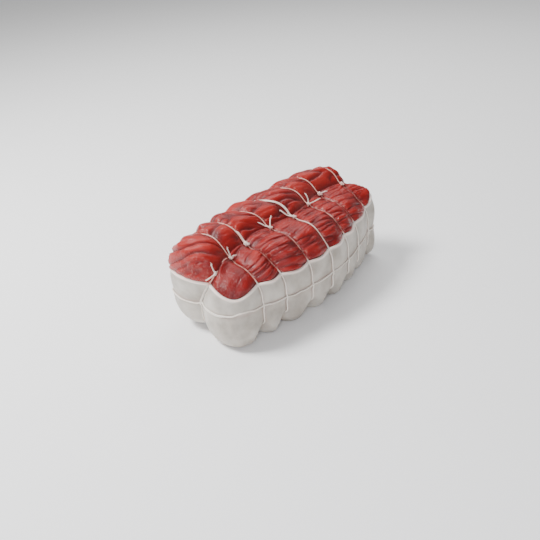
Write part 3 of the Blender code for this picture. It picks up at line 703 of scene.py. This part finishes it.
def makeFat():
    rows, outside, inside = fatPiece["fineness"]
    lipColumns = np.array(fatPiece["lipColumns"])
    low, high = 0.5 + lipColumns[-1], 1.0 - lipColumns[-1]
    lipColumns = lipColumns[:-1]
    turns = np.concatenate([0.5 + lipColumns, np.linspace(low, high, outside), 1.0 - lipColumns[::-1]])
    back = np.concatenate([1.0 - lipColumns[1:], np.linspace(high, low, inside), 0.5 + lipColumns[:0:-1]])
    half = fatPiece["thick"] / 2.0
    strength, stainAndShadeReach = fatPiece["stained"]
    sheets, lipAndRimHighlights, folds = [], [], []
    for columns, outer in ((turns, True), (back, False)):
        grid = gridOf(np.linspace(0.0, rings, rings * rows + 1), columns, fatRelief)
        edge = rimDistance(grid["skin"])
        # both faces meet in a half circle at the edge
        share = np.sqrt(1.0 - (1.0 - np.minimum(edge / half, 1.0)) ** 2)
        inset = half * (1.0 - share) if outer else half * (1.0 + share)
        if outer:
            for (height, place, reach), sign in ((fatPiece["rolled"], -1.0), (fatPiece["hollow"], 1.0)):
                inset = inset + sign * height * np.exp(-((edge - place) / reach) ** 2)
        sheets.append(grid["skin"] - gridNormals(grid["skin"], False) * inset[:, :, None])
        # the lip's pink, painted lighter as a highlight along the rim
        lipAndRimHighlights.append(1.0 - smoothStep(*fatPiece["lipAndHighlightWidth"], edge) if outer else np.ones_like(edge))
        # pink stain beside the strings, partly painted shade in their creases
        gaps = stringGaps(grid["station"].ravel(), grid["plain"].reshape(-1, 3))
        gap = np.minimum(gaps[0], gaps[2]).reshape(edge.shape)
        folds.append(np.exp(-(gap / stainAndShadeReach) ** 2) * strength)
    places = np.concatenate(sheets, axis=1)
    places[:, :, 2] = np.maximum(places[:, :, 2], 0.0)
    piece = wrappedMesh("fatBard", places, {
        "lipAndRimHighlight": np.concatenate(lipAndRimHighlights, axis=1), "stainAndCreaseShade": np.concatenate(folds, axis=1)})
    piece.data.materials.append(makeFatMaterial())
    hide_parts("fat_bard")
    return piece


for label, make in (("meat", makeMeat), ("fat", makeFat)):
    made = make()
    facingOut(made)
    print(label, len(made.data.polygons))


def makeSkin():
    # surface that the strings are laid on: five rows to a ring, a column every two degrees
    rows, columns = rings * 5 + 1, 181
    grid = gridOf(np.linspace(0.0, rings, rows), np.linspace(0.0, 1.0, columns), None)["skin"]
    index = np.arange(rows * columns).reshape(rows, columns)
    faces = np.stack([index[:-1, :-1], index[1:, :-1], index[1:, 1:], index[:-1, 1:]], axis=-1)
    return BVHTree.FromPolygons(grid.reshape(-1, 3).tolist(), faces.reshape(-1, 4).tolist())


skin = makeSkin()


def outOfSkin(place, height):
    # moves a place out to a height over the skin, if it is lower
    near = skin.find_nearest(place)[0]
    up = Vector(outward(np.array([near]))[0])
    away = place - near
    level = away.length if away.dot(up) > 0.0 else -away.length
    if level >= height:
        return place
    way = away.normalized() if level > 0.05 else up
    return place + way * (height - level)


def castValley(origin, direction, sideways):
    # lowest place of the skin within 3 mm of a ray out of the core
    hits = []
    for shift in np.linspace(-3.0, 3.0, 13):
        start = origin + sideways * shift
        hit = skin.ray_cast(start, direction)[0]
        if hit is not None:
            hits.append(((hit - start).length, shift, hit))
    return min(hits, key=lambda hit: hit[0])[2]


def trackRays(height, upright):
    # rays out of the core once round the joint: over and under it, or round its sides
    first, last = ties[0] + form["core"][1], ties[-1] - form["core"][1]
    straight, bend = 150, 110    # rays along a side and round an end
    for side in (1.0, -1.0):
        start, stop = (first, last) if side > 0.0 else (last, first)
        sideways = (0.0, 0.0, side) if upright else (0.0, side, 0.0)
        for k in range(straight):
            yield Vector((start + (stop - start) * k / straight, 0.0, height)), Vector(sideways)
        for k in range(bend):
            along = math.sin(math.pi * k / bend) * side
            across = math.cos(math.pi * k / bend) * side
            way = (along, 0.0, across) if upright else (along, across, 0.0)
            yield Vector((stop, 0.0, height)), Vector(way)


def resampled(points, step, closed):
    # points an even step apart along a run
    run = np.vstack([points, points[:1]]) if closed else np.asarray(points)
    lengths = np.concatenate(([0.0], np.cumsum(np.linalg.norm(np.diff(run, axis=0), axis=1))))
    count = max(int(round(lengths[-1] / step)), 2)
    wanted = np.linspace(0.0, lengths[-1], count + (0 if closed else 1), endpoint=not closed)
    return np.stack([np.interp(wanted, lengths, run[:, n]) for n in range(3)], axis=1)


def eased(values):
    # one round of smoothing along a closed run
    return 0.5 * values + 0.25 * (np.roll(values, 1, axis=0) + np.roll(values, -1, axis=0))


def pulledTight(points):
    # shortens a loop and keeps it on the skin
    height = twinePiece["radius"] * (1.0 - twinePiece["sunk"])
    points = resampled(points, 1.3, True)
    for _ in range(8):
        points = np.array([outOfSkin(Vector(place), height) for place in eased(points)])
    return points


def hopped(points, laid):
    # lifts a loop over the strings that are already there
    tree = KDTree(len(laid))
    for number, place in enumerate(laid):
        tree.insert(place, number)
    tree.balance()
    gaps = np.array([tree.find(place)[2] for place in points])
    height, full, first = twinePiece["hop"]
    rise = twinePiece["radius"] * height * (1.0 - smoothStep(full, first, gaps))
    rise = eased(eased(rise))
    # a little more makes up for what the smoothing takes
    return points + outward(points) * (rise * 1.15)[:, None]


def ropeParts(points, closed, radius, twist):
    # twisted string along a run: places and faces
    points = resampled(points, twinePiece["step"], closed)
    for _ in range(3):
        if closed:
            points = eased(points)
        else:
            points[1:-1] = 0.5 * points[1:-1] + 0.25 * (points[:-2] + points[2:])
    count, around = len(points), twinePiece["around"][0 if twist else 1]
    if closed:
        ahead = np.roll(points, -1, axis=0) - np.roll(points, 1, axis=0)
    else:
        ahead = np.gradient(points, axis=0)
    ahead /= np.maximum(np.linalg.norm(ahead, axis=1), 1e-9)[:, None]
    # a direction to the side that turns as little as possible from ring to ring, to begin with
    # one across a way that no string starts along
    side = np.cross(ahead[0], (0.3, 0.2, 0.93))
    sides = []
    for way in ahead:
        side = side - way * (way @ side)
        side = side / np.linalg.norm(side)
        sides.append(side)
    sides = np.array(sides)
    lift = np.cross(ahead, sides)
    plies = twinePiece["plies"]
    turns = twinePiece["step"] * count / twinePiece["pitch"]
    if closed:
        # the plies have to meet again where the loop closes
        last = sides[-1] - ahead[0] * (ahead[0] @ sides[-1])
        gap = math.atan2(lift[0] @ last, sides[0] @ last)
        turns = round(turns * plies) / plies - gap / (2.0 * math.pi)
    spin = 2.0 * math.pi * turns * np.arange(count) / count
    theta = 2.0 * math.pi * np.arange(around) / around
    groove, roundness = twinePiece["groove"] if twist else (0.0, 1.0)
    shape = 1.0 - groove * (1.0 - np.abs(np.cos(0.5 * plies * theta)) ** roundness)
    radii = np.full(count, radius)
    if closed:
        onMeat = smoothStep(1.0, 6.0, points[:, 2] - edgeHeight(points[:, 0]))
        radii = radius * (1.0 - (1.0 - twinePiece["thin"]) * onMeat)
    else:
        radii[[0, -1]] *= twinePiece["tipShare"]
    angle = theta[None, :] + spin[:, None]
    spokes = np.cos(angle)[:, :, None] * sides[:, None, :] + np.sin(angle)[:, :, None] * lift[:, None, :]
    ringPlaces = points[:, None, :] + radii[:, None, None] * shape[None, :, None] * spokes

    index = np.arange(count * around).reshape(count, around)
    row, nextRow = (index, np.roll(index, -1, axis=0)) if closed else (index[:-1], index[1:])
    faces = np.stack([row, np.roll(row, -1, axis=1), np.roll(nextRow, -1, axis=1), nextRow], axis=-1)
    faces = faces.reshape(-1, 4).tolist()
    if not closed:
        faces += [index[0][::-1].tolist(), index[-1].tolist()]
    return ringPlaces.reshape(-1, 3), faces


def makeString(name, node, runs):
    # one piece from several runs of string: (points, closed, radius, twisted, share of the stain)
    places, faces, stains = [], [], []
    for points, closed, radius, twist, stained in runs:
        ropePlaces, ropeFaces = ropeParts(points, closed, radius, twist)
        start = sum(len(part) for part in places)
        places.append(ropePlaces)
        faces += [[corner + start for corner in face] for face in ropeFaces]
        x, y, z = ropePlaces.T
        right = smoothStep(-1.0, -8.0, y - furrowLine(x, z))
        onMeat = smoothStep(-1.0, 4.0, z - edgeHeight(x))
        stains.append(stained * (0.5 + 0.5 * right) * onMeat)
    piece = makeMesh(name, np.concatenate(places), faces, {"stain": np.concatenate(stains)})
    piece.data.materials.append(twineMaterial)
    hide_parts(node)


# knots: a coil round the string and a loop over it, then each knot's size and loose ends
knotShape = {
    "coil": (1.5, 2.4, 1.15, 1.0, 0.66),    # half length, turns, width, height, radius
    "loop": (1.15, 1.75, 1.25, 0.62),       # turns, width, height, radius
    "stain": 0.3,
}
tailShape = {
    "radius": 0.68, "sway": 0.06, "droop": 0.13, "stain": 0.25,    # sway and droop for each mm
    "fibres": 7, "fibre": 0.16, "spread": 0.55,    # loose fibres at the tip, their radius and spread
}
knots = (
    # size, then a direction and a length for each loose end, from the near string to the far one
    (1.0, (((-0.15, 0.15, 1.0), 11.0), ((0.75, -0.4, 0.45), 5.0))),
    (1.35, ()),
    (1.0, (((-0.55, 0.75, 0.3), 13.0), ((0.5, 0.35, 0.75), 12.0))),
    (1.0, (((-0.5, 0.8, 0.35), 14.0),)),
    (1.0, (((0.0, 0.3, 0.95), 12.0), ((0.7, -0.55, 0.45), 12.0))),
    (1.2, (((0.6, -0.6, 0.5), 7.0),)),
    (1.2, ()),
)
endKnot = {
    "near": (-118.0, -10.0, 84.0),          # the knot of the lengthwise string is the nearest to this
    "off": (-0.4, 0.0, 0.5),                # how far it sits off the string's middle
    "tails": (((0.15, 0.5, 0.85), 9.0), ((-0.75, 0.3, -0.25), 10.0)),
}
# second strand beside part of a string: the low and the high corner of that part, its offset,
# radius and share of the stain; on a cross string y counts from its knot
secondStrands = {
    "girth": ((-200.0, -30.0, 0.0), (-95.0, 2.0, 200.0), (0.0, 0.0, -1.3), 0.6, 1.0),
    "lengthwise": ((-200.0, -200.0, 33.0), (-60.0, 200.0, 74.0), (0.0, 1.3, 0.0), 0.7, 1.0),
    "cross2": ((-200.0, 0.0, 60.0), (200.0, 13.0, 200.0), (1.1, 0.0, 0.4), 0.8, 0.3),
    "cross4": ((-200.0, 0.0, 84.0), (200.0, 200.0, 200.0), (1.3, 0.0, 0.0), 0.7, 0.3),
}


def knotRuns(place, along, up, size):
    # wraps of a butcher's knot round its own string
    across = np.cross(up, along)
    half, turns, width, height, radius = knotShape["coil"]
    turn = np.linspace(0.0, 2.0 * math.pi * turns, 44)
    coil = (place + np.outer(np.linspace(-half, half, len(turn)) * size, along)
            + np.outer(np.cos(turn) * width * size, across) + np.outer(np.sin(turn) * height * size, up))
    turns, width, height, loopRadius = knotShape["loop"]
    turn = np.linspace(0.3, 2.0 * math.pi * turns, 30)
    loop = (place + np.outer(np.cos(turn) * width * size, along * 0.8 + across * 0.6)
            + np.outer(np.sin(turn) * height * size, up)
            + np.outer(np.linspace(-0.5, 0.6, len(turn)), across))
    stain = knotShape["stain"]
    return [(coil, False, radius * size, True, stain), (loop, False, loopRadius * size, True, stain)]


def tailRuns(place, direction, length, seed):
    # loose end with its plies spread at the tip
    direction = np.array(direction) / np.linalg.norm(direction)
    draw = np.random.default_rng(seed)
    sway = np.cross(direction, draw.normal(size=3))
    sway /= np.linalg.norm(sway)
    part = np.linspace(0.0, 1.0, 12)
    bow = np.sin(part * math.pi) * tailShape["sway"] * length
    run = place + np.outer(part * length, direction) + np.outer(bow, sway)
    run[:, 2] -= tailShape["droop"] * length * part ** 2.5
    run = np.array([outOfSkin(Vector(spot), 0.6) for spot in run])
    runs = [(run, False, tailShape["radius"], True, tailShape["stain"])]
    tip, ahead = run[-1], run[-1] - run[-3]
    ahead = ahead / np.linalg.norm(ahead)
    for _ in range(tailShape["fibres"]):
        spread = ahead * draw.uniform(0.9, 2.0) + draw.normal(size=3) * tailShape["spread"]
        middle = tip - ahead * 0.5 + draw.normal(size=3) * 0.2
        end = middle + spread + np.array((0.0, 0.0, -0.15))
        runs.append((np.array([middle, middle + spread * 0.5, end]), False, tailShape["fibre"], False, 0.2))
    return runs


def trackPath(height, upright):
    # path of the lengthwise string or of the girth: twice each ray finds the skin, and then the
    # height or the place to the side that the string has there
    path = []
    for origin, direction in trackRays(height, upright):
        hit = skin.ray_cast(origin, direction)[0]
        for _ in range(2):
            if upright:
                origin.y = float(furrowLine(hit.x, hit.z))
            else:
                origin.z = float(girthHeight(hit.x, hit.y))
            hit = skin.ray_cast(origin, direction)[0]
        sideways = Vector((0.0, 1.0, 0.0) if upright else (0.0, 0.0, 1.0))
        path.append(castValley(origin, direction, sideways))
    return pulledTight(np.array(path))


def crossPath(number):
    turn = np.linspace(0.0, 1.0, 400, endpoint=False)
    return pulledTight(skinPlaces(np.full(len(turn), float(tieRings[number])), turn, None)[0])


def buried(points, depth, seed):
    # lets the meat close over parts of a string, more and less in turn every 12 mm or so
    size = 12.0
    share = 0.75 + 0.9 * noise(points / size + np.array((0.0, 0.0, seed)), 71)
    return points - outward(points) * (np.clip(share, 0.4, 1.0) * depth)[:, None]


def strandRun(points, name, start):
    # second strand beside the part of a loop between two corners, joining it at both ends
    low, high, offset, radius, stain = secondStrands[name]
    moved = points - np.array((0.0, start, 0.0))
    chosen = np.flatnonzero(((moved > low) & (moved < high)).all(axis=1))
    breaks = np.flatnonzero(np.diff(chosen) > 1)
    if len(breaks):
        chosen = np.concatenate([chosen[breaks[0] + 1:], chosen[:breaks[0] + 1]])
    part = np.linspace(0.0, 1.0, len(chosen))
    ease = np.minimum(part * 6.0, 1.0) * np.minimum(part[::-1] * 6.0, 1.0)
    return points[chosen] + np.outer(ease, offset), False, radius, True, stain


def makeGirth(loop):
    runs = [(loop, True, twinePiece["radius"], True, 1.0), strandRun(loop, "girth", 0.0)]
    makeString("stringGirth", "string_girth", runs)


def makeLengthwise(loop):
    nearest = np.linalg.norm(loop - np.array(endKnot["near"]), axis=1).argmin()
    place = loop[nearest] + np.array(endKnot["off"])
    runs = [(loop, True, twinePiece["radius"], True, 1.0), strandRun(loop, "lengthwise", 0.0)]
    runs += knotRuns(place, np.array((0.6, 0.0, 0.8)), np.array((-0.8, 0.0, 0.6)), 1.0)
    for number, (direction, length) in enumerate(endKnot["tails"]):
        runs += tailRuns(place, direction, length, 90 + number)
    makeString("stringLengthwise", "string_lengthwise", runs)


def makeCross(number, laid, topLine):
    slack = number == 3    # the fourth lies on the meat as thick string with only a faint stain
    loop = crossPath(number)
    x, y, z = loop.T
    offKnot = y - furrowLine(x, z)
    rightDepth, leftDepth = twinePiece["buried"][1:]
    depth = rightDepth * smoothStep(-5.0, -11.0, offKnot) + leftDepth * smoothStep(5.0, 11.0, offKnot)
    if not slack:
        depth = depth * smoothStep(1.0, 5.0, z - edgeHeight(x))
        loop = buried(loop, depth, 3.0 * number + 1.0)
    loop = hopped(loop, laid)

    # the knot sits where the string crosses the lengthwise one on top
    over = np.flatnonzero(loop[:, 2] > form["edge"][0])
    gaps = np.linalg.norm(loop[over][:, None, :] - topLine[None, :, :], axis=2).min(axis=1)
    middle = over[gaps.argmin()]
    place = loop[middle] + np.array((0.0, 0.0, 0.2))
    along = loop[(middle + 2) % len(loop)] - loop[middle - 2]
    along /= np.linalg.norm(along)
    up = outward(loop[middle:middle + 1])[0]
    up = up - along * (up @ along)
    up /= np.linalg.norm(up)

    name = "cross" + str(number + 1)
    radius, stain = (twinePiece["radius"], 0.35) if slack else (twinePiece["tight"], 1.0)
    runs = [(loop, True, radius, True, stain)]
    if name in secondStrands:
        runs.append(strandRun(loop, name, place[1]))
    size, tails = knots[number]
    runs += knotRuns(place, along, up, size)
    for k, (direction, length) in enumerate(tails):
        runs += tailRuns(place, direction, length, 10 * number + k)
    makeString("stringCross" + str(number + 1), "string_cross_" + str(number + 1), runs)


twineMaterial = makeTwineMaterial()
girth = trackPath(form["girth"][0], False)
makeGirth(girth)
lengthwise = hopped(trackPath(form["core"][0], True), girth)
onTop = smoothStep(form["edge"][0] + 8.0, form["edge"][0] + 16.0, lengthwise[:, 2])
lengthwise = buried(lengthwise, twinePiece["buried"][0] * onTop, 0.0)
makeLengthwise(lengthwise)
laid = np.concatenate([girth, lengthwise])
topLine = lengthwise[lengthwise[:, 2] > form["edge"][0]]
for number in range(len(ties)):
    makeCross(number, laid, topLine)
print("strings laid")

# plain pale floor, soft studio light and the camera
stageSet = {
    "floor": ("#FFFFFF", 4.0, -0.0002),    # colour, half its width and its height in metres
    "world": ("#FFFFFF", 0.42),
    # place in metres, size, power in watts, colour
    "key": ((-0.52, 0.55, 1.0), 0.38, 24.0, "#FFFFFF"),
    "fill": ((-0.9, -0.7, 0.65), 0.4, 6.0, "#F4F6FF"),
    "back": ((0.7, 0.5, 1.2), 0.9, 10.0, "#FFFFFF"),
    "aim": (0.0, 0.0, 0.05),               # where the lights point
}
cameraView = {
    "place": (-0.4564, -0.4223, 0.3908),
    "right": (0.6691, -0.7409, -0.0586),
    "down": (-0.4126, -0.3047, -0.8584),
    "forward": (0.6181, 0.5985, -0.5096),
    "focal": (700.47, 540.0),              # focal length and width of the frame in pixels
}


def makeStage():
    colour, half, height = stageSet["floor"]
    corners = [(x, y, height) for x, y in ((-half, -half), (half, -half), (half, half), (-half, half))]
    mesh = bpy.data.meshes.new("floor")
    mesh.from_pydata(corners, [], [(0, 1, 2, 3)])
    floor = bpy.data.objects.new("floor", mesh)
    bpy.context.scene.collection.objects.link(floor)
    paper = newMaterial("palePaper")
    shader = addNode(paper, "BsdfPrincipled", {"Base Color": fromHex(colour), "Roughness": 0.8})
    addNode(paper, "OutputMaterial", {"Surface": shader.outputs[0]})
    mesh.materials.append(paper)
    world = bpy.data.worlds.new("studio")
    world.use_nodes = True
    sky = world.node_tree.nodes["Background"]
    sky.inputs["Color"].default_value = fromHex(stageSet["world"][0])
    sky.inputs["Strength"].default_value = stageSet["world"][1]
    bpy.context.scene.world = world
    for name in ("key", "fill", "back"):
        spot, size, power, colour = stageSet[name]
        lamp = bpy.data.lights.new(name, "AREA")
        lamp.size, lamp.energy, lamp.color = size, power, fromHex(colour)[:3]
        light = bpy.data.objects.new(name, lamp)
        light.location = spot
        aim = Vector(stageSet["aim"]) - Vector(spot)
        light.rotation_euler = aim.to_track_quat("-Z", "Y").to_euler()
        bpy.context.scene.collection.objects.link(light)


def makeCamera():
    focal, frameWidth = cameraView["focal"]
    lens = bpy.data.cameras.new("camera")
    lens.sensor_width = 36.0
    lens.lens = focal / frameWidth * lens.sensor_width
    camera = bpy.data.objects.new("camera", lens)
    right, down, forward = (Vector(cameraView[way]) for way in ("right", "down", "forward"))
    turned = Matrix((right, -down, -forward)).transposed().to_4x4()
    camera.matrix_world = Matrix.Translation(cameraView["place"]) @ turned
    bpy.context.scene.collection.objects.link(camera)
    bpy.context.scene.camera = camera


makeStage()
makeCamera()
print("stage set")
